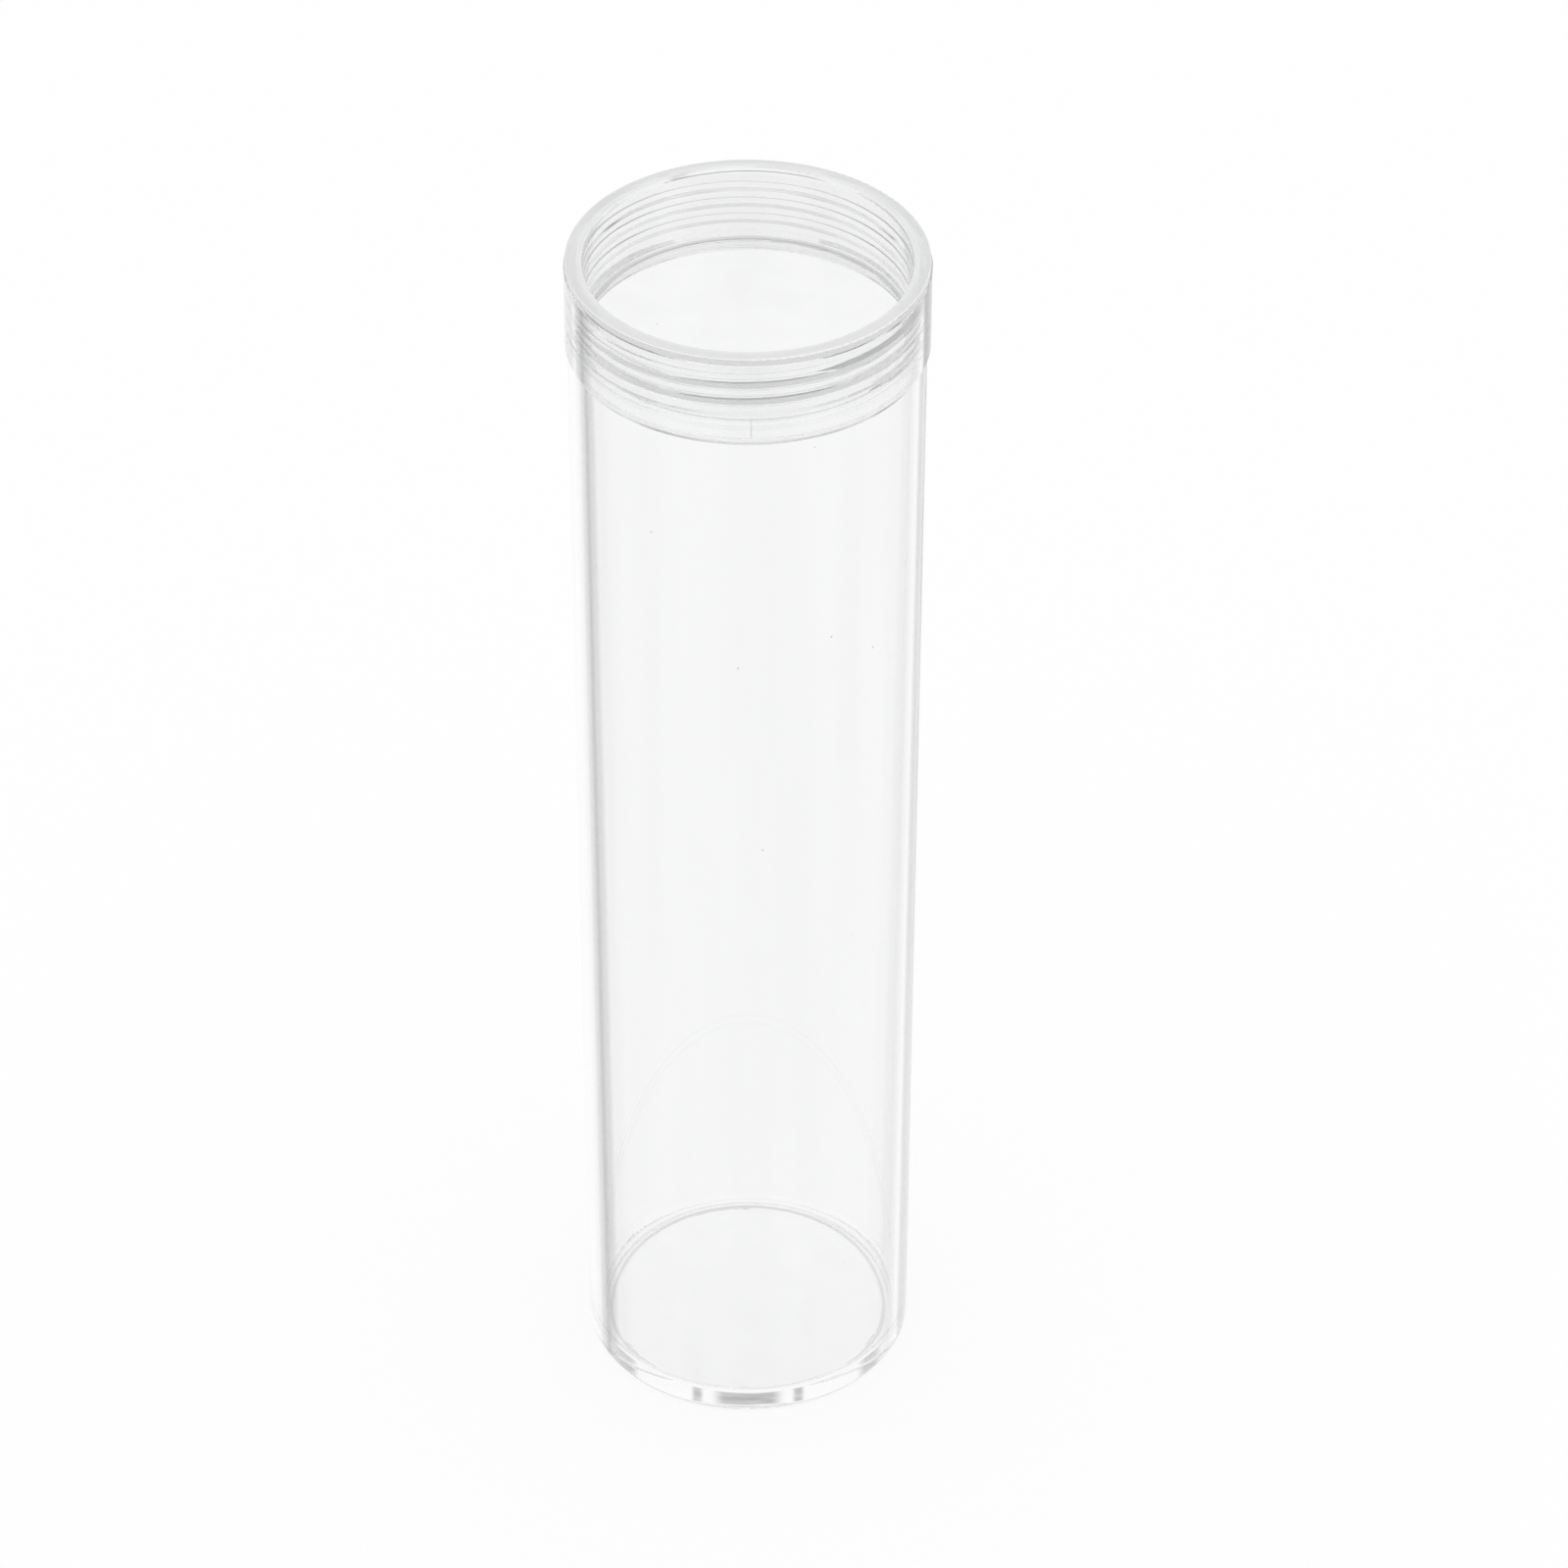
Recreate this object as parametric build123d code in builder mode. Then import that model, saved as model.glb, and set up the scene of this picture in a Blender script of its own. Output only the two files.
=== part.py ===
from build123d import *
import os
from math import radians, tan

os.makedirs("parts", exist_ok=True)

# Coin tube: a clear drafted tube whose mouth is an internally threaded collar, closed by a
# screw-in cap with a deep open recess. Millimetres, +Z up, origin at the centre of the base.

# Tube
overall_height = 110.0  # base to the top of the screwed-down cap
tube_top_diameter = 28.5  # outside, just under the collar
tube_bottom_diameter = 28.0  # outside, at the base
collar_step = 0.25  # the collar stands out from the tube by this much in radius
tube_wall = 1.1
floor_thickness = 1.1
foot_edge_radius = 0.4  # outside edge of the base
floor_corner_radius = 1.2  # inside corner between wall and floor
collar_wall = 0.5  # from the thread groove to the outside of the collar
collar_foot = 0.1  # the collar reaches this far below its inner ledge
collar_bevel = 0.45  # height of the sloping edge under the collar
land_step = 0.02  # the plain land below the collar's thread stands in from its crest
mouth_lead_in = 0.2  # chamfer at the inner edge of the mouth

# Screw thread, single start and right-handed
thread_pitch = 1.5
thread_depth = 0.36
thread_turns = 2.75  # on the cap
collar_lead_turns = 0.55  # the collar's thread starts this much lower, inside the land
collar_extra_turns = 0.25  # and ends this much higher than the cap's
flank_angle = 30.0
crest_clearance = 0.1  # radial, crest to facing groove
flank_clearance = 0.1  # axial, on each side of a thread
thread_start_angle = -52.0  # where the lower end of the cap's thread lies, from +X
thread_bite = 0.1  # depth to which a thread is rooted in its wall
collar_fade_radius = 8.0  # curve along which the collar's thread runs out

# Cap
flange_thickness = 0.6
flange_inset = 0.1  # the flange is this much smaller in radius than the collar
flange_edge_radius = 0.15
rim_edge_radius = 0.45  # rounded inner edge of the rim
cap_wall = 0.5  # from the thread's root to the recess
recess_draft = 0.1  # the recess narrows by this much in radius
thread_head_gap = 0.3  # plain length between flange and thread
plain_end_length = 1.85  # plain length below the thread
plug_edge_chamfer = 0.2
seam_width = 0.12  # mould seam down the plain end of the plug
seam_height = 0.03  # how far the seam stands out
seam_angle = -89.0  # from +X, so that the seam faces the front with the cap screwed down
lip_width = 0.35  # ledge around the foot of the recess, over the floor's edge
lip_thickness = 0.15
cap_floor_thickness = 0.5
floor_skirt = 0.6  # the plug reaches this far below the floor
floor_seat_width = 0.45  # how far the floor reaches under the lip
floor_edge_radius = 0.1

# Clearances
seat_gap = 0.05  # flange above the mouth, with the cap screwed down
ledge_gap = 0.15  # end of the cap above the tube's ledge
land_gap = 0.25  # cap's thread above the land
floor_side_gap = 0.05
floor_top_gap = 0.03

# Radii that the cap and the collar share
tube_top_radius = tube_top_diameter / 2
collar_radius = tube_top_radius + collar_step
groove_radius = collar_radius - collar_wall
collar_crest_radius = groove_radius - thread_depth
cap_crest_radius = groove_radius - crest_clearance
cap_root_radius = collar_crest_radius - crest_clearance
land_radius = collar_crest_radius - land_step

# Thread form: both threads have the same width halfway up their overlap
tooth_mid_radius = (cap_crest_radius + collar_crest_radius) / 2
tooth_mid_width = thread_pitch / 2 - flank_clearance
flank_slope = tan(radians(flank_angle))
collar_crest_width = tooth_mid_width - 2 * (tooth_mid_radius - collar_crest_radius) * flank_slope
collar_base_width = collar_crest_width + 2 * (thread_depth + thread_bite) * flank_slope
cap_crest_width = tooth_mid_width - 2 * (cap_crest_radius - tooth_mid_radius) * flank_slope
cap_root_width = tooth_mid_width + 2 * (tooth_mid_radius - cap_root_radius) * flank_slope
cap_base_width = cap_root_width + 2 * thread_bite * flank_slope

# Heights, from the top down
thread_rise = thread_turns * thread_pitch
flange_under = overall_height - flange_thickness
mouth_height = flange_under - seat_gap
cap_thread_low = flange_under - thread_head_gap - cap_root_width / 2 - thread_rise
plain_end_top = cap_thread_low - cap_root_width / 2
plug_end = plain_end_top - plain_end_length
land_height = plain_end_top - land_gap
floor_underside = plug_end + floor_skirt
floor_seat = floor_underside + cap_floor_thickness + floor_top_gap
recess_foot = floor_seat + lip_thickness
ledge_height = plug_end - ledge_gap
shoulder_height = ledge_height - collar_foot
collar_thread_low = cap_thread_low - thread_pitch / 2 - collar_lead_turns * thread_pitch
collar_turns = collar_lead_turns + thread_turns + collar_extra_turns

# Radii of the tube and of the cap's recess
tube_bottom_radius = tube_bottom_diameter / 2
bore_top_radius = tube_top_radius - tube_wall
bore_bottom_radius = tube_bottom_radius - tube_wall
flange_radius = collar_radius - flange_inset
recess_top_radius = cap_root_radius - cap_wall
recess_foot_radius = recess_top_radius - recess_draft
lip_radius = recess_foot_radius - lip_width
floor_pocket_radius = lip_radius + floor_seat_width + floor_side_gap
cap_floor_radius = floor_pocket_radius - floor_side_gap

# Thread inside the collar, rising out of the land and faded out at its upper end
with BuildPart() as collar_thread:
    with BuildLine() as collar_helix:
        Helix(
            thread_pitch,
            collar_turns * thread_pitch,
            groove_radius,
            center=(0, 0, collar_thread_low),
        )
    with BuildSketch(Plane.XZ) as collar_tooth:
        with BuildLine():
            Polyline(
                (groove_radius + thread_bite, collar_thread_low - collar_base_width / 2),
                (collar_crest_radius, collar_thread_low - collar_crest_width / 2),
                (collar_crest_radius, collar_thread_low + collar_crest_width / 2),
                (groove_radius + thread_bite, collar_thread_low + collar_base_width / 2),
                close=True,
            )
        make_face()
    sweep(path=collar_helix.line, is_frenet=True)
    with Locations((0, 0, collar_thread_low + collar_turns * thread_pitch)):
        with PolarLocations(
            groove_radius + thread_bite / 2 - collar_fade_radius, 1, start_angle=360 * collar_turns
        ):
            Cylinder(collar_fade_radius, thread_pitch, mode=Mode.SUBTRACT)

# Tube, floor and collar, one clear moulding
with BuildPart() as tube:
    with BuildSketch(Plane.XZ) as tube_profile:
        with BuildLine():
            Polyline(
                (0, 0),
                (tube_bottom_radius, 0),
                (tube_top_radius, shoulder_height),
                (collar_radius, shoulder_height + collar_bevel),
                (collar_radius, mouth_height),
                (groove_radius, mouth_height),
                (groove_radius, land_height),
                (land_radius, land_height - groove_radius + land_radius),
                (land_radius, ledge_height),
                (bore_top_radius, ledge_height),
                (bore_bottom_radius, floor_thickness),
                (0, floor_thickness),
                close=True,
            )
        make_face()
        fillet(
            tube_profile.vertices().sort_by_distance((tube_bottom_radius, 0))[0],
            foot_edge_radius,
        )
        fillet(
            tube_profile.vertices().sort_by_distance((bore_bottom_radius, floor_thickness))[0],
            floor_corner_radius,
        )
        chamfer(
            tube_profile.vertices().sort_by_distance((groove_radius, mouth_height))[0],
            mouth_lead_in,
        )
    revolve(axis=Axis.Z)
    add(collar_thread.part, rotation=(0, 0, thread_start_angle - 360 * collar_lead_turns))
tube.part.label = "tube"
export_step(tube.part, "parts/tube.step")

# Thread around the cap's plug, faded out at both ends
with BuildPart() as cap_thread:
    with BuildLine() as cap_helix:
        Helix(thread_pitch, thread_rise, cap_root_radius, center=(0, 0, cap_thread_low))
    with BuildSketch(Plane.XZ) as cap_tooth:
        with BuildLine():
            Polyline(
                (cap_root_radius - thread_bite, cap_thread_low - cap_base_width / 2),
                (cap_crest_radius, cap_thread_low - cap_crest_width / 2),
                (cap_crest_radius, cap_thread_low + cap_crest_width / 2),
                (cap_root_radius - thread_bite, cap_thread_low + cap_base_width / 2),
                close=True,
            )
        make_face()
    sweep(path=cap_helix.line, is_frenet=True)
    for turns in (0, thread_turns):
        with Locations((0, 0, cap_thread_low + turns * thread_pitch)):
            with PolarLocations(cap_root_radius - thread_bite / 2, 1, start_angle=360 * turns):
                Box(
                    cap_root_radius,
                    cap_root_radius,
                    thread_pitch,
                    align=(Align.MIN, Align.CENTER, Align.CENTER),
                    mode=Mode.SUBTRACT,
                )

# Flange, threaded plug and open recess of the cap
with BuildPart() as cap_ring:
    with BuildSketch(Plane.XZ) as cap_profile:
        with BuildLine():
            Polyline(
                (flange_radius, flange_under),
                (flange_radius, overall_height),
                (recess_top_radius, overall_height),
                (recess_foot_radius, recess_foot),
                (lip_radius, recess_foot),
                (lip_radius, floor_seat),
                (floor_pocket_radius, floor_seat),
                (floor_pocket_radius, plug_end),
                (cap_root_radius, plug_end),
                (cap_root_radius, flange_under),
                close=True,
            )
        make_face()
        fillet(
            cap_profile.vertices().sort_by_distance((flange_radius, overall_height))[0],
            flange_edge_radius,
        )
        fillet(
            cap_profile.vertices().sort_by_distance((recess_top_radius, overall_height))[0],
            rim_edge_radius,
        )
        fillet(
            cap_profile.vertices().sort_by_distance((recess_foot_radius, recess_foot))[0],
            lip_width - floor_top_gap,
        )
        chamfer(
            cap_profile.vertices().sort_by_distance((cap_root_radius, plug_end))[0],
            plug_edge_chamfer,
        )
    revolve(axis=Axis.Z)
    add(cap_thread.part, rotation=(0, 0, thread_start_angle))
    with Locations((0, 0, plug_end + plug_edge_chamfer)):
        with PolarLocations(cap_root_radius, 1, start_angle=seam_angle):
            Box(
                2 * seam_height,
                seam_width,
                plain_end_length - plug_edge_chamfer,
                align=(Align.CENTER, Align.CENTER, Align.MIN),
            )
cap_ring.part.label = "cap_ring"
export_step(cap_ring.part, "parts/cap_ring.step")

# Thin clear floor of the cap, seated under the lip, a little above the plug's end
with BuildPart() as cap_floor:
    with BuildSketch(Plane.XY.offset(floor_underside)):
        Circle(cap_floor_radius)
    extrude(amount=cap_floor_thickness)
    fillet(cap_floor.edges().group_by(Axis.Z)[0], floor_edge_radius)
cap_floor.part.label = "cap_floor"
export_step(cap_floor.part, "parts/cap_floor.step")
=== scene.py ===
"""Looks of the coin tube: clear and milky plastic, a pale studio floor, soft light and the camera."""

import math

import bmesh
import bpy
from bpy.props import FloatProperty, FloatVectorProperty, PointerProperty
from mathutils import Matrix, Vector

bl_info = {
    "name": "Coin Tube",
    "version": (1, 0, 0),
    "blender": (4, 5, 0),
    "location": "View3D > Sidebar > Coin Tube",
    "description": "Finishes a clear coin tube with a screw-in cap and sets it on a studio floor",
    "category": "Object",
}

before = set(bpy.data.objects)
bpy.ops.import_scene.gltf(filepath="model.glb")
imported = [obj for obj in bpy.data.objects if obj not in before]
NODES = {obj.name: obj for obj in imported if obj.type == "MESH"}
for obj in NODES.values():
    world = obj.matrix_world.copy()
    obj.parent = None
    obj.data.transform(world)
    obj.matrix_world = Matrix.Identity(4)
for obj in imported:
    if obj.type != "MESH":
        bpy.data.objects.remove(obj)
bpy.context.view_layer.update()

BLACK = (0, 0, 0, 1)
WHITE = (1, 1, 1, 1)

# Marks that moulding and handling leave on each plastic, and the height of its faint waves in metres
TUBE_MARKS = {"Streaks": 0.02, "Specks": 0.5, "Scuffs": 0.03, "Roughness": 0.0}
TUBE_WAVE = 0.000006
CAP_RING_MARKS = {"Streaks": 0.02, "Specks": 0.2, "Scuffs": 0.03}
CAP_RING_WAVE = 0.000005
CAP_FLOOR_MARKS = {"Streaks": 0.02, "Specks": 0.3, "Scuffs": 0.05, "Roughness": 0.01}
CAP_FLOOR_WAVE = 0.00001
WAVE_STRENGTH = 0.5

# Patterns of those marks: their scale, and the values between which they fade
STREAK_SCALE = (260, 260, 14)
STREAK_FADE = (0.35, 0.65)
SPECK_SCALE = 220.0
SPECK_FADE = (0.018, 0.03)
SPECKED_SHARE = 0.5
SCUFF_SCALE = 900.0
SCUFF_FADE = (0.52, 0.72)

# Painted shade in bands near the outline: how much of the tube's colour is kept, by how steeply the outside
# is met: straight on at 0, along the surface at 1
PAINTED_OUTLINE_STOPS = (
    (0.0, 1.0), (0.47, 0.98), (0.56, 0.86), (0.61, 0.52),
    (0.65, 0.3), (0.69, 0.55), (0.74, 0.88), (0.8, 1.0),
)
# How steeply the outside is met where the painted dark line along its edge begins and where it is full
PAINTED_EDGE_SLANT = (0.74, 0.78)
# How far the outside faces to the side on its left, in the middle and on its right
LEFT_TO_RIGHT = (-0.7, 0.7)
MIDDLE_TO_RIGHT = (0.0, 0.7)
# Strength of the painted shade in the outline's bands and in the collar's edge line, from left to right,
# and in the body's edge line, from the middle to the right
PAINTED_BAND_STRENGTHS = (1.0, 0.35)
PAINTED_COLLAR_LINE_STRENGTHS = (0.5, 1.0)
PAINTED_BODY_LINE_STRENGTHS = (0.0, 0.6)
# Height of the lower edge of the collar
COLLAR_FOOT = 0.10196
# How far a surface of the tube faces away from its axis, at least outside and at most inside
OUTSIDE_FACING = 0.6
INSIDE_FACING = -0.02
# How far the slopes under the collar and around the base face up, and the foot of the inside corner, where
# painted shade greys them, each as a middle value and how far it may be off
BEVEL_UP = (-0.5, 0.3)
CORNER_UP = (0.95, 0.035)
# Colour that light takes on its way through the tube's plastic
SOAK_COLOUR = (0.5, 0.5, 0.5, 1)

# Distances from the axis between which the cap's plug goes over into its seam and thread
RAISED_RADII = (0.01355, 0.01357)
# Distances from the axis between which the cap's thread goes over into its crest
CREST_RADII = (0.01382, 0.01387)
# How far the slopes of the cap's thread face away from the axis, a middle value and how far it may be off
FLANK_OUT = (0.5, 0.12)
# How far the ring faces away from the axis where the recess's veil ends and where the thread's is full
THREAD_OUT = (0.1, 0.4)
# How far the ring faces up where the rim's veil begins and is full, and where its painted shade does
RIM_VEIL_UP = (0.2, 0.6)
PAINTED_RIM_SHADE_UP = (0.6, 0.98)

# Brightness of the soft light around the tube, by height above the horizon
LIGHT_STOPS = (
    (0.0, 0.95), (0.4, 0.95), (0.5, 0.97), (0.62, 1.0), (0.75, 1.1), (0.9, 1.2), (1.0, 1.2)
)
# Dark gaps between the lights, by the angle from the middle of the back, in half turns
GAP_STOPS = (
    (0.0, 0.85), (0.04, 0.8), (0.072, 0.0), (0.082, 0.0), (0.092, 0.75), (0.1, 0.75), (0.11, 0.0),
    (0.235, 0.0), (0.27, 0.8), (0.3, 0.8), (0.34, 0.0), (1.0, 0.0),
)
# Heights of the belt that the gaps lie in, and how softly it ends
GAP_BELT = (0.677, 0.75)
GAP_SOFTNESS = 0.02
# Light that runs along the clear walls turns many times before it comes out
WALL_BOUNCES = 1024
DIFFUSE_BOUNCES = 16

FLOOR_REACH = 3.0
FLOOR_CELLS = 8
FLOOR_ROUGHNESS = 0.9
# Share of plain white in the floor as the camera sees it; the rest takes the tube's soft shadow
FLOOR_WHITE = 0.9
SENSOR_WIDTH = 36.0
NEAR_CLIP = 0.01


def tint(name, description, default):
    """A colour setting."""
    return FloatVectorProperty(
        name=name, description=description, subtype="COLOR", size=3, min=0.0, max=1.0, default=default
    )


def share(name, description, default):
    """A setting from 0 to 1."""
    return FloatProperty(
        name=name, description=description, subtype="FACTOR", min=0.0, max=1.0, default=default
    )


def refraction(name, description, default):
    """A setting for an index of refraction."""
    return FloatProperty(name=name, description=description, min=1.0, max=1.8, default=default)


def length(name, description, default):
    """A setting in metres."""
    return FloatProperty(
        name=name, description=description, subtype="DISTANCE", unit="LENGTH", default=default
    )


class CoinTubePlastic(bpy.types.PropertyGroup):
    """Finish of the tube and the cap, with the painted shade on their outline, edges, rim and thread."""

    clear_tint: tint(
        "Clear tint", "Colour of light that passes the tube's wall straight on", (0.97, 0.972, 0.972)
    )
    clear_index: refraction("Refraction", "Index of refraction of the tube", 1.53)
    soak: FloatProperty(
        name="Soak",
        description="How fast the tube's plastic takes up light on its way through",
        min=0.0,
        max=20.0,
        default=1.5,
    )
    # Painted shade on the sloping edges under the collar and around the base
    painted_bevel_shade: tint(
        "Painted bevel shade",
        "Colour of light that passes the sloping edges under the collar and around the base",
        (0.6, 0.6, 0.6),
    )
    # Painted shade: dark colour painted in a line along the tube's outline
    painted_edge_line_shade: tint(
        "Painted edge line shade", "Colour of light that enters the tube right along its outline", (0.12, 0.12, 0.12)
    )
    # Painted shade at the foot of the tube's inside corner
    painted_corner_shade: tint(
        "Painted corner shade",
        "Colour of light that passes the foot of the tube's inside corner",
        (0.58, 0.58, 0.58),
    )
    milky_tint: tint("Milky tint", "Colour of light that passes the cap's ring", (0.995, 0.997, 0.998))
    milky_index: refraction("Milky refraction", "Index of refraction of the cap's ring", 1.5)
    milky_roughness: share(
        "Milky roughness", "How much the cap's ring blurs what lies behind it", 0.01
    )
    milky_veil: share("Milky veil", "Share of light that the cap's recess scatters", 0.18)
    thread_veil: share("Thread veil", "Share of light that the cap's thread scatters", 0.05)
    rim_veil: share("Rim veil", "Share of light that the cap's flat rim scatters", 0.8)
    # Painted shade: grey scattered colour on the top of the cap's rim
    painted_rim_shade: tint("Painted rim shade", "Colour of the cap's flat rim where it scatters light", (0.8, 0.805, 0.805))
    # Painted shade: the three greys below darken the slopes, the seam and foot, and the crest of the cap's
    # thread
    painted_flank_shade: tint(
        "Painted flank shade", "Colour of light that passes the slopes of the cap's thread", (0.82, 0.82, 0.82)
    )
    painted_raised_shade: tint(
        "Painted raised shade",
        "Colour of light that enters the seam and the foot of the cap's thread",
        (0.6, 0.6, 0.6),
    )
    painted_crest_shade: tint(
        "Painted crest shade", "Colour of light that enters the crest of the cap's thread", (0.5, 0.5, 0.5)
    )
    floor_index: refraction(
        "Cap floor refraction",
        "Index of refraction of the cap's thin floor, low because the ring is one moulding with it",
        1.08,
    )


class CoinTubeStage(bpy.types.PropertyGroup):
    """Floor and camera."""

    floor_colour: tint("Floor colour", "Colour of the pale floor", (0.96, 0.96, 0.96))
    floor_drop: length(
        "Floor drop", "Height of the tube's base above the floor, which keeps the two faces apart", 0.0002
    )
    elevation: FloatProperty(
        name="Camera elevation",
        description="How steeply the camera looks down",
        subtype="ANGLE",
        default=math.radians(37.58),
    )
    distance: length("Camera distance", "From the camera to the point it looks at", 0.549)
    aim_height: length("Aim height", "Height on the tube's axis that the camera looks at", 0.05792)
    lens: FloatProperty(
        name="Lens",
        description="Focal length in millimetres",
        min=20.0,
        max=400.0,
        default=151.6,
    )
    frame_shift: FloatProperty(
        name="Frame shift",
        description="Sideways shift that sets the tube left of the frame's middle",
        min=-0.2,
        max=0.2,
        default=0.023,
    )


def add_node(tree, kind, sockets=None, **options):
    """Adds a node with the given options, and sets or links its sockets by name or number."""
    made = tree.nodes.new(kind)
    for option, value in options.items():
        setattr(made, option, value)
    for socket, value in (sockets or {}).items():
        if isinstance(value, bpy.types.NodeSocket):
            tree.links.new(value, made.inputs[socket])
        else:
            made.inputs[socket].default_value = value
    return made


def maths(tree, operation, *values, clamp=False):
    """The result of one Math node."""
    return add_node(
        tree, "ShaderNodeMath", dict(enumerate(values)), operation=operation, use_clamp=clamp
    ).outputs[0]


def vector_maths(tree, operation, *vectors):
    """The outputs of one Vector Math node."""
    return add_node(tree, "ShaderNodeVectorMath", dict(enumerate(vectors)), operation=operation).outputs


def span(tree, value, low, high, to_low=0.0, to_high=1.0):
    """A value brought from one range to another, and held there."""
    sockets = {"Value": value, "From Min": low, "From Max": high, "To Min": to_low, "To Max": to_high}
    return add_node(tree, "ShaderNodeMapRange", sockets).outputs["Result"]


def axes_of(tree, vector):
    """The outputs X, Y and Z of a vector."""
    return add_node(tree, "ShaderNodeSeparateXYZ", {0: vector}).outputs


def grey_ramp(tree, value, stops):
    """A grey that follows a value, eased from one stop to the next."""
    ramp = add_node(tree, "ShaderNodeValToRGB", {"Fac": value})
    ramp.color_ramp.interpolation = "EASE"
    points = ramp.color_ramp.elements
    points[0].position, points[1].position = stops[0][0], stops[-1][0]
    for position, _ in stops[1:-1]:
        points.new(position)
    for point, (_, grey) in zip(points, stops):
        point.color = (grey, grey, grey, 1)
    return ramp.outputs["Color"]


def mix_colours(tree, factor, first, second, blend="MIX"):
    """Two colours mixed by a factor."""
    sockets = {"Factor": factor, "A": first, "B": second}
    return add_node(tree, "ShaderNodeMix", sockets, data_type="RGBA", blend_type=blend).outputs["Result"]


def new_material(name):
    """A node material with nothing but its output, and that output."""
    material = bpy.data.materials.new(name)
    material.use_nodes = True
    material.node_tree.nodes.clear()
    return material, material.node_tree.nodes.new("ShaderNodeOutputMaterial")


def moulded_surface():
    """Node group of the marks that moulding and handling leave on plastic, built once."""
    group = bpy.data.node_groups.get("Moulded surface")
    if group:
        return group
    group = bpy.data.node_groups.new("Moulded surface", "ShaderNodeTree")
    for name in ("Streaks", "Specks", "Scuffs", "Roughness"):
        group.interface.new_socket(name, in_out="INPUT", socket_type="NodeSocketFloat")
    for name in ("Shade", "Roughness", "Height"):
        group.interface.new_socket(name, in_out="OUTPUT", socket_type="NodeSocketFloat")
    given = group.nodes.new("NodeGroupInput").outputs
    result = group.nodes.new("NodeGroupOutput")
    place = group.nodes.new("ShaderNodeTexCoord").outputs["Object"]

    along = add_node(group, "ShaderNodeMapping", {"Vector": place, "Scale": STREAK_SCALE}).outputs[0]
    flow_noise = add_node(group, "ShaderNodeTexNoise", {"Vector": along, "Scale": 1.0, "Detail": 2.0})
    flow = flow_noise.outputs["Fac"]
    streak = maths(group, "MULTIPLY", span(group, flow, *STREAK_FADE), given["Streaks"])

    cells = add_node(group, "ShaderNodeTexVoronoi", {"Vector": place, "Scale": SPECK_SCALE}).outputs
    specked = maths(group, "LESS_THAN", cells["Color"], SPECKED_SHARE)
    dot = maths(group, "MULTIPLY", span(group, cells["Distance"], *SPECK_FADE, 1.0, 0.0), specked)
    speck = maths(group, "MULTIPLY", dot, given["Specks"])
    shade = maths(group, "SUBTRACT", 1.0, maths(group, "ADD", streak, speck), clamp=True)

    rub = add_node(group, "ShaderNodeTexNoise", {"Vector": place, "Scale": SCUFF_SCALE, "Detail": 4.0})
    scuff = maths(group, "MULTIPLY", span(group, rub.outputs["Fac"], *SCUFF_FADE), given["Scuffs"])

    group.links.new(shade, result.inputs["Shade"])
    group.links.new(maths(group, "ADD", scuff, given["Roughness"]), result.inputs["Roughness"])
    group.links.new(flow, result.inputs["Height"])
    return group


def plastic_shader(tree, colour, index, marks, wave):
    """A see-through plastic with mould marks: its shader, and its base colour, still to be linked."""
    surface = add_node(tree, "ShaderNodeGroup", node_tree=moulded_surface())
    for name, value in marks.items():
        surface.inputs[name].default_value = value
    bump = add_node(
        tree,
        "ShaderNodeBump",
        {"Strength": WAVE_STRENGTH, "Distance": wave, "Height": surface.outputs["Height"]},
    )
    shader = add_node(
        tree,
        "ShaderNodeBsdfPrincipled",
        {
            "Transmission Weight": 1.0,
            "IOR": index,
            "Roughness": surface.outputs["Roughness"],
            "Normal": bump.outputs["Normal"],
        },
    )
    return shader, mix_colours(tree, surface.outputs["Shade"], BLACK, (*colour, 1))


def from_axis(tree):
    """The way from the tube's axis straight out to the surface, in metres."""
    place = tree.nodes.new("ShaderNodeTexCoord").outputs["Object"]
    return vector_maths(tree, "MULTIPLY", place, (1, 1, 0))["Vector"]


def facing_out(tree, normal):
    """How far the surface faces away from the tube's axis: 1 on the outside, -1 on the inside, 0 on top."""
    outward = vector_maths(tree, "NORMALIZE", from_axis(tree))["Vector"]
    return vector_maths(tree, "DOT_PRODUCT", outward, normal)["Value"]


def painted_bevel_and_corner_shade(tree, colour, plastic):
    """Painted shade: greys the slope under the collar, the edge of the base and the foot of the inside
    corner.
    """
    normal = tree.nodes.new("ShaderNodeNewGeometry").outputs["Normal"]
    out_share = facing_out(tree, normal)
    up_share = axes_of(tree, normal)["Z"]
    slope = maths(tree, "MULTIPLY", maths(tree, "COMPARE", up_share, *BEVEL_UP), out_share, clamp=True)
    bevel_shaded = mix_colours(tree, slope, colour, (*plastic.painted_bevel_shade, 1))
    inside = maths(tree, "LESS_THAN", out_share, INSIDE_FACING)
    foot = maths(tree, "MULTIPLY", maths(tree, "COMPARE", up_share, *CORNER_UP), inside)
    return mix_colours(tree, foot, bevel_shaded, (*plastic.painted_corner_shade, 1))


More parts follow.
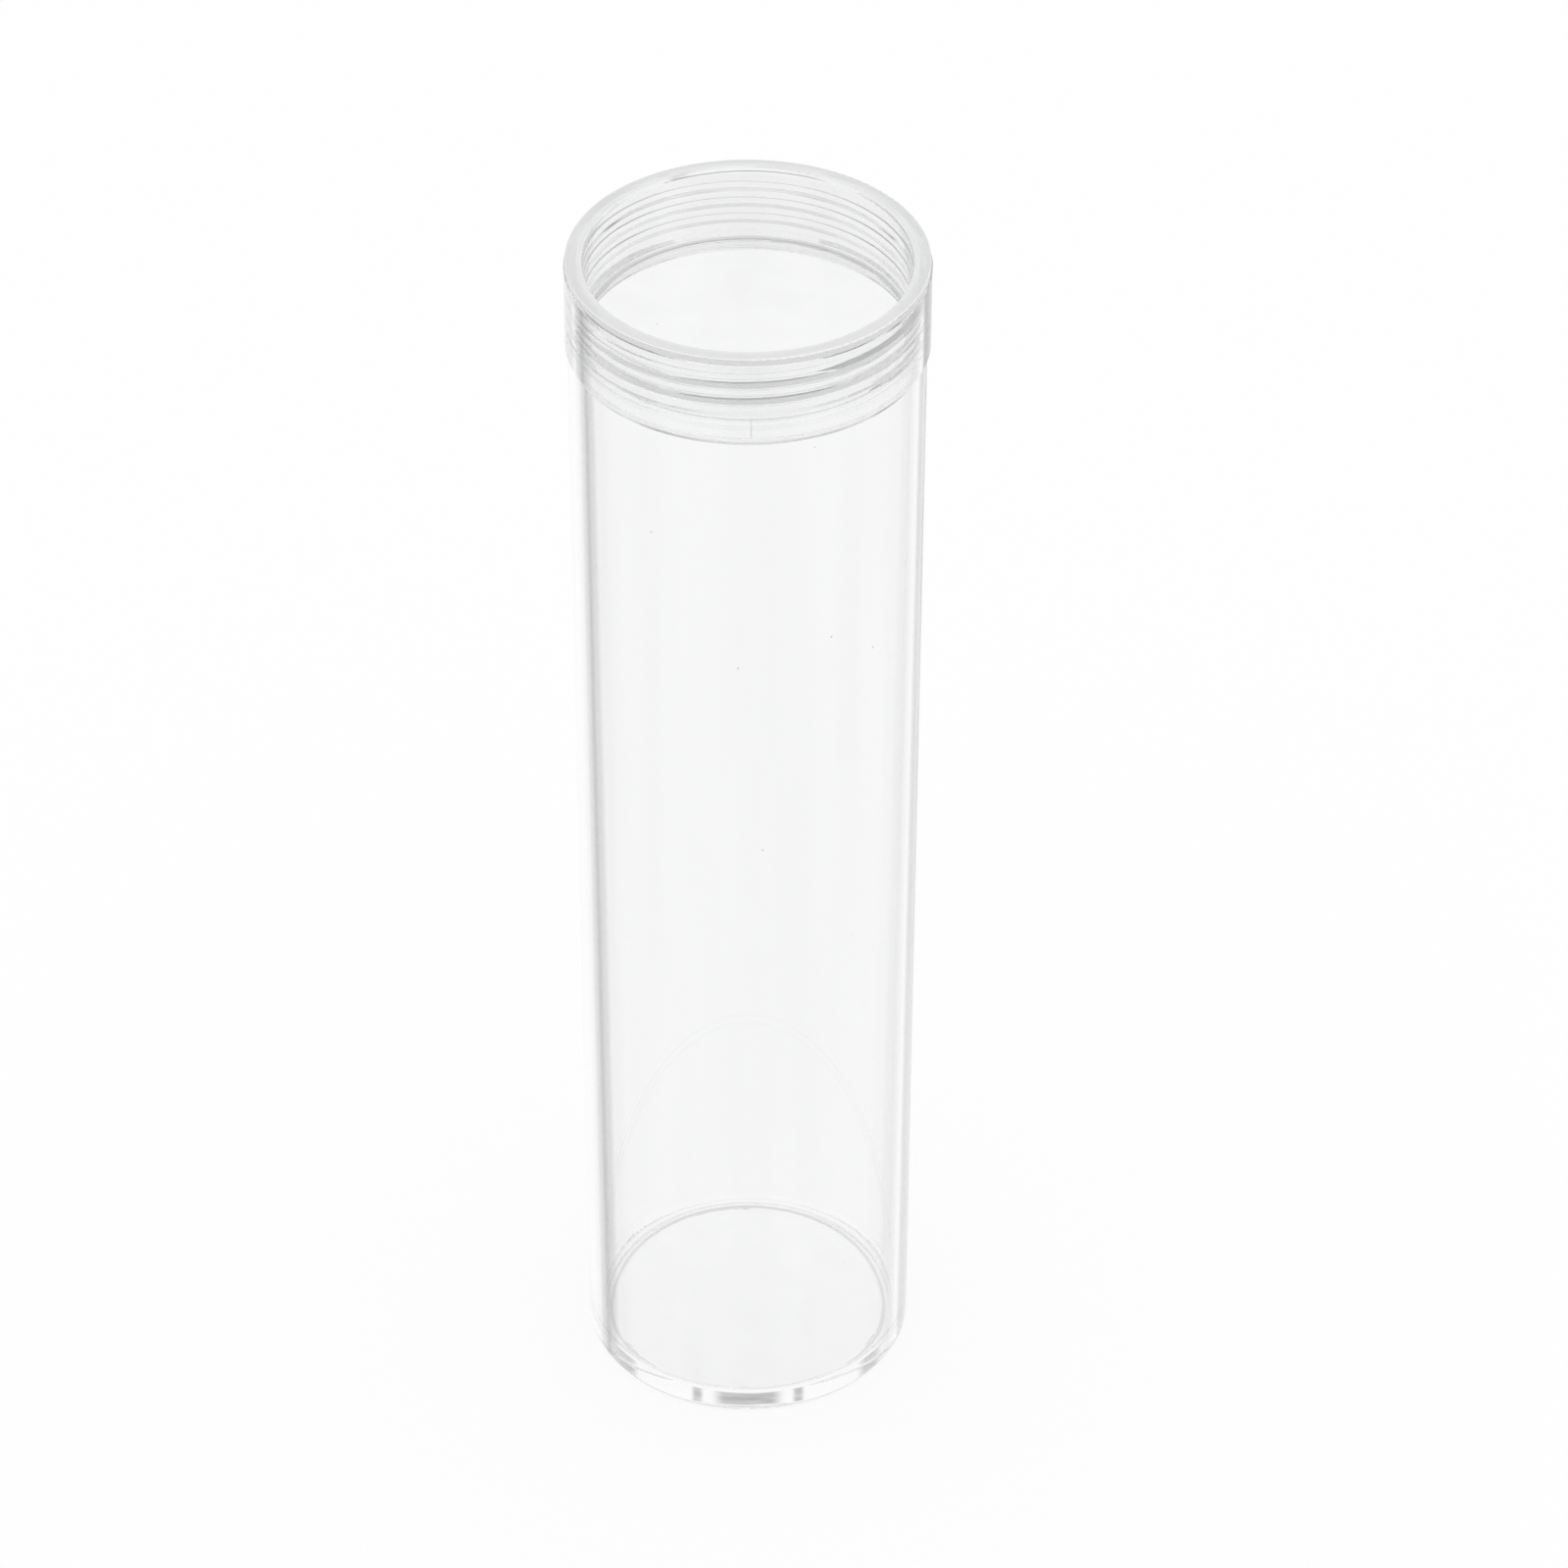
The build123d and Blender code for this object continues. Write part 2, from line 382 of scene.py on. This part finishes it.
def painted_outline_shade(tree, colour, plastic):
    """Painted shade: darkens the tube's colour where light enters its outside at a slant, in bands near the
    outline that are darker on the left, and in a dark line along the edge of the collar and, on the right,
    of the body.
    """
    slant = add_node(tree, "ShaderNodeLayerWeight", {"Blend": 0.5}).outputs["Facing"]
    geometry = tree.nodes.new("ShaderNodeNewGeometry").outputs
    outside = maths(tree, "GREATER_THAN", facing_out(tree, geometry["Normal"]), OUTSIDE_FACING)
    entering = maths(tree, "SUBTRACT", outside, geometry["Backfacing"], clamp=True)
    side = axes_of(tree, geometry["Normal"])["X"]
    depth = maths(tree, "MULTIPLY", entering, span(tree, side, *LEFT_TO_RIGHT, *PAINTED_BAND_STRENGTHS))
    banded = mix_colours(tree, depth, colour, grey_ramp(tree, slant, PAINTED_OUTLINE_STOPS), "MULTIPLY")

    place = tree.nodes.new("ShaderNodeTexCoord").outputs["Object"]
    on_collar = maths(tree, "GREATER_THAN", axes_of(tree, place)["Z"], COLLAR_FOOT)
    body_line = span(tree, side, *MIDDLE_TO_RIGHT, *PAINTED_BODY_LINE_STRENGTHS)
    collar_line = span(tree, side, *LEFT_TO_RIGHT, *PAINTED_COLLAR_LINE_STRENGTHS)
    line = span(tree, on_collar, 0.0, 1.0, body_line, collar_line)
    edge = maths(tree, "MULTIPLY", maths(tree, "MULTIPLY", line, span(tree, slant, *PAINTED_EDGE_SLANT)), entering)
    return mix_colours(tree, edge, banded, (*plastic.painted_edge_line_shade, 1))


def tube_plastic(plastic):
    """Clear plastic with painted shade along its outline and edges, which takes a little light on the way.
    """
    material, out = new_material("Clear tube plastic")
    tree = material.node_tree
    shader, colour = plastic_shader(tree, plastic.clear_tint, plastic.clear_index, TUBE_MARKS, TUBE_WAVE)
    edged = painted_bevel_and_corner_shade(tree, colour, plastic)
    tree.links.new(painted_outline_shade(tree, edged, plastic), shader.inputs["Base Color"])
    tree.links.new(shader.outputs["BSDF"], out.inputs["Surface"])
    volume = add_node(
        tree, "ShaderNodeVolumeAbsorption", {"Color": SOAK_COLOUR, "Density": plastic.soak}
    )
    tree.links.new(volume.outputs["Volume"], out.inputs["Volume"])
    return material


def cap_ring_plastic(plastic):
    """Faintly milky plastic with a satin rim, painted shade on the rim's top and on the thread's crests,
    flanks and foot, and a light veil in the recess.
    """
    material, out = new_material("Milky cap plastic")
    tree = material.node_tree
    marks = {**CAP_RING_MARKS, "Roughness": plastic.milky_roughness}
    shader, colour = plastic_shader(tree, plastic.milky_tint, plastic.milky_index, marks, CAP_RING_WAVE)
    geometry = tree.nodes.new("ShaderNodeNewGeometry").outputs
    out_share = facing_out(tree, geometry["Normal"])
    # Painted shade on the thread's slopes, and where light enters its seam, foot and crest
    flank = maths(tree, "COMPARE", maths(tree, "ABSOLUTE", out_share), *FLANK_OUT)
    shaded = mix_colours(tree, flank, colour, (*plastic.painted_flank_shade, 1))
    distance = vector_maths(tree, "LENGTH", from_axis(tree))["Value"]
    for radii, grey in ((RAISED_RADII, plastic.painted_raised_shade), (CREST_RADII, plastic.painted_crest_shade)):
        entering = maths(tree, "SUBTRACT", span(tree, distance, *radii), geometry["Backfacing"], clamp=True)
        shaded = mix_colours(tree, entering, shaded, (*grey, 1))
    tree.links.new(shaded, shader.inputs["Base Color"])

    up_share = axes_of(tree, geometry["Normal"])["Z"]
    # Painted shade: the veil's colour is greyed where the rim faces up
    painted_rim_colour = mix_colours(tree, span(tree, up_share, *PAINTED_RIM_SHADE_UP), colour, (*plastic.painted_rim_shade, 1))
    milk = add_node(tree, "ShaderNodeBsdfDiffuse", {"Color": painted_rim_colour})
    wall_veil = span(tree, out_share, *THREAD_OUT, plastic.milky_veil, plastic.thread_veil)
    rim_veil = maths(tree, "MULTIPLY", span(tree, up_share, *RIM_VEIL_UP), plastic.rim_veil)
    veil = maths(tree, "MAXIMUM", wall_veil, rim_veil)
    entering_veil = maths(tree, "SUBTRACT", veil, geometry["Backfacing"], clamp=True)
    both = add_node(
        tree, "ShaderNodeMixShader", {0: entering_veil, 1: shader.outputs["BSDF"], 2: milk.outputs["BSDF"]}
    )
    tree.links.new(both.outputs["Shader"], out.inputs["Surface"])
    return material


def cap_floor_plastic(plastic):
    """Thin clear plastic of the cap's floor."""
    material, out = new_material("Cap floor plastic")
    tree = material.node_tree
    shader, colour = plastic_shader(
        tree, plastic.clear_tint, plastic.floor_index, CAP_FLOOR_MARKS, CAP_FLOOR_WAVE
    )
    tree.links.new(colour, shader.inputs["Base Color"])
    tree.links.new(shader.outputs["BSDF"], out.inputs["Surface"])
    return material


def dress(node, material):
    """Gives a CAD node its finish."""
    mesh = NODES[node].data
    mesh.materials.clear()
    mesh.materials.append(material)


class COINTUBE_OT_tube(bpy.types.Operator):
    """Gives the tube its clear plastic"""

    bl_idname = "coin_tube.tube"
    bl_label = "Finish Tube"

    def execute(self, context):
        dress("tube", tube_plastic(context.scene.coin_tube_plastic))
        return {"FINISHED"}


class COINTUBE_OT_cap(bpy.types.Operator):
    """Gives the cap's ring and floor their plastic"""

    bl_idname = "coin_tube.cap"
    bl_label = "Finish Cap"

    def execute(self, context):
        plastic = context.scene.coin_tube_plastic
        dress("cap_ring", cap_ring_plastic(plastic))
        dress("cap_floor", cap_floor_plastic(plastic))
        return {"FINISHED"}


class COINTUBE_OT_stage(bpy.types.Operator):
    """Adds the floor, the soft light and the camera"""

    bl_idname = "coin_tube.stage"
    bl_label = "Set Stage"

    def execute(self, context):
        stage = context.scene.coin_tube_stage
        self.add_floor(context, stage)
        self.add_light(context)
        self.add_camera(context, stage)
        context.scene.view_settings.view_transform = "Standard"
        for kind in ("max_bounces", "glossy_bounces", "transmission_bounces"):
            setattr(context.scene.cycles, kind, WALL_BOUNCES)
        context.scene.cycles.diffuse_bounces = DIFFUSE_BOUNCES
        return {"FINISHED"}

    def add_floor(self, context, stage):
        mesh = bpy.data.meshes.new("studio_floor")
        shape = bmesh.new()
        bmesh.ops.create_grid(shape, x_segments=FLOOR_CELLS, y_segments=FLOOR_CELLS, size=FLOOR_REACH)
        bmesh.ops.translate(shape, vec=(0, 0, -stage.floor_drop), verts=shape.verts)
        shape.to_mesh(mesh)
        shape.free()
        floor = bpy.data.objects.new("studio_floor", mesh)
        context.scene.collection.objects.link(floor)
        mesh.materials.append(self.floor_paint(stage))

    def floor_paint(self, stage):
        """Pale paint that shows plain white through the plastic and in its reflections."""
        material, out = new_material("Pale floor")
        tree = material.node_tree
        paint = add_node(
            tree,
            "ShaderNodeBsdfPrincipled",
            {
                "Base Color": (*stage.floor_colour, 1),
                "Roughness": FLOOR_ROUGHNESS,
                "Specular IOR Level": 0.0,
            },
        )
        glow = add_node(tree, "ShaderNodeEmission", {"Strength": 1.0})
        ray = tree.nodes.new("ShaderNodeLightPath").outputs
        through = maths(tree, "MAXIMUM", ray["Is Glossy Ray"], ray["Is Transmission Ray"])
        white = maths(tree, "MULTIPLY_ADD", ray["Is Camera Ray"], FLOOR_WHITE, through, clamp=True)
        both = add_node(
            tree, "ShaderNodeMixShader", {0: white, 1: paint.outputs["BSDF"], 2: glow.outputs["Emission"]}
        )
        tree.links.new(both.outputs["Shader"], out.inputs["Surface"])
        return material

    def add_light(self, context):
        """Soft light from all around with dark gaps, plain white to the camera and to what scatters it."""
        world = bpy.data.worlds.new("Studio")
        world.use_nodes = True
        context.scene.world = world
        tree = world.node_tree
        axes = axes_of(tree, tree.nodes.new("ShaderNodeTexCoord").outputs["Generated"])
        level = grey_ramp(tree, axes["Z"], LIGHT_STOPS)
        turn = maths(tree, "ABSOLUTE", maths(tree, "ARCTAN2", axes["X"], axes["Y"]))
        gaps = grey_ramp(tree, maths(tree, "DIVIDE", turn, math.pi), GAP_STOPS)
        above_low, above_high = (
            span(tree, axes["Z"], height - GAP_SOFTNESS, height + GAP_SOFTNESS) for height in GAP_BELT
        )
        gap = maths(tree, "MULTIPLY", maths(tree, "SUBTRACT", above_low, above_high), gaps)
        lit = mix_colours(tree, gap, level, BLACK)
        ray = tree.nodes.new("ShaderNodeLightPath").outputs
        plain = maths(tree, "ADD", ray["Is Camera Ray"], ray["Diffuse Depth"], clamp=True)
        shown = mix_colours(tree, plain, lit, WHITE)
        tree.links.new(shown, tree.nodes["Background"].inputs["Color"])

    def add_camera(self, context, stage):
        camera = bpy.data.objects.new("camera", bpy.data.cameras.new("camera"))
        context.scene.collection.objects.link(camera)
        forward = Vector((0, math.cos(stage.elevation), -math.sin(stage.elevation)))
        camera.location = Vector((0, 0, stage.aim_height)) - stage.distance * forward
        camera.rotation_euler = forward.to_track_quat("-Z", "Y").to_euler()
        camera.data.sensor_width = SENSOR_WIDTH
        camera.data.lens = stage.lens
        camera.data.shift_x = stage.frame_shift
        camera.data.clip_start = NEAR_CLIP
        context.scene.camera = camera


class COINTUBE_PT_panel(bpy.types.Panel):
    """Lists the coin tube's steps and settings"""

    bl_idname = "COINTUBE_PT_panel"
    bl_label = "Coin Tube"
    bl_space_type = "VIEW_3D"
    bl_region_type = "UI"
    bl_category = "Coin Tube"

    def draw(self, context):
        layout = self.layout
        for operator in OPERATORS:
            layout.operator(operator.bl_idname)
        for settings in (context.scene.coin_tube_plastic, context.scene.coin_tube_stage):
            box = layout.box()
            for name in settings.__annotations__:
                box.prop(settings, name)


OPERATORS = (COINTUBE_OT_tube, COINTUBE_OT_cap, COINTUBE_OT_stage)
CLASSES = (CoinTubePlastic, CoinTubeStage, *OPERATORS, COINTUBE_PT_panel)


def register():
    for cls in CLASSES:
        bpy.utils.register_class(cls)
    bpy.types.Scene.coin_tube_plastic = PointerProperty(type=CoinTubePlastic)
    bpy.types.Scene.coin_tube_stage = PointerProperty(type=CoinTubeStage)


def unregister():
    del bpy.types.Scene.coin_tube_stage
    del bpy.types.Scene.coin_tube_plastic
    for cls in reversed(CLASSES):
        bpy.utils.unregister_class(cls)


def main():
    register()
    bpy.ops.coin_tube.tube()
    bpy.ops.coin_tube.cap()
    bpy.ops.coin_tube.stage()


if __name__ == "__main__":
    main()
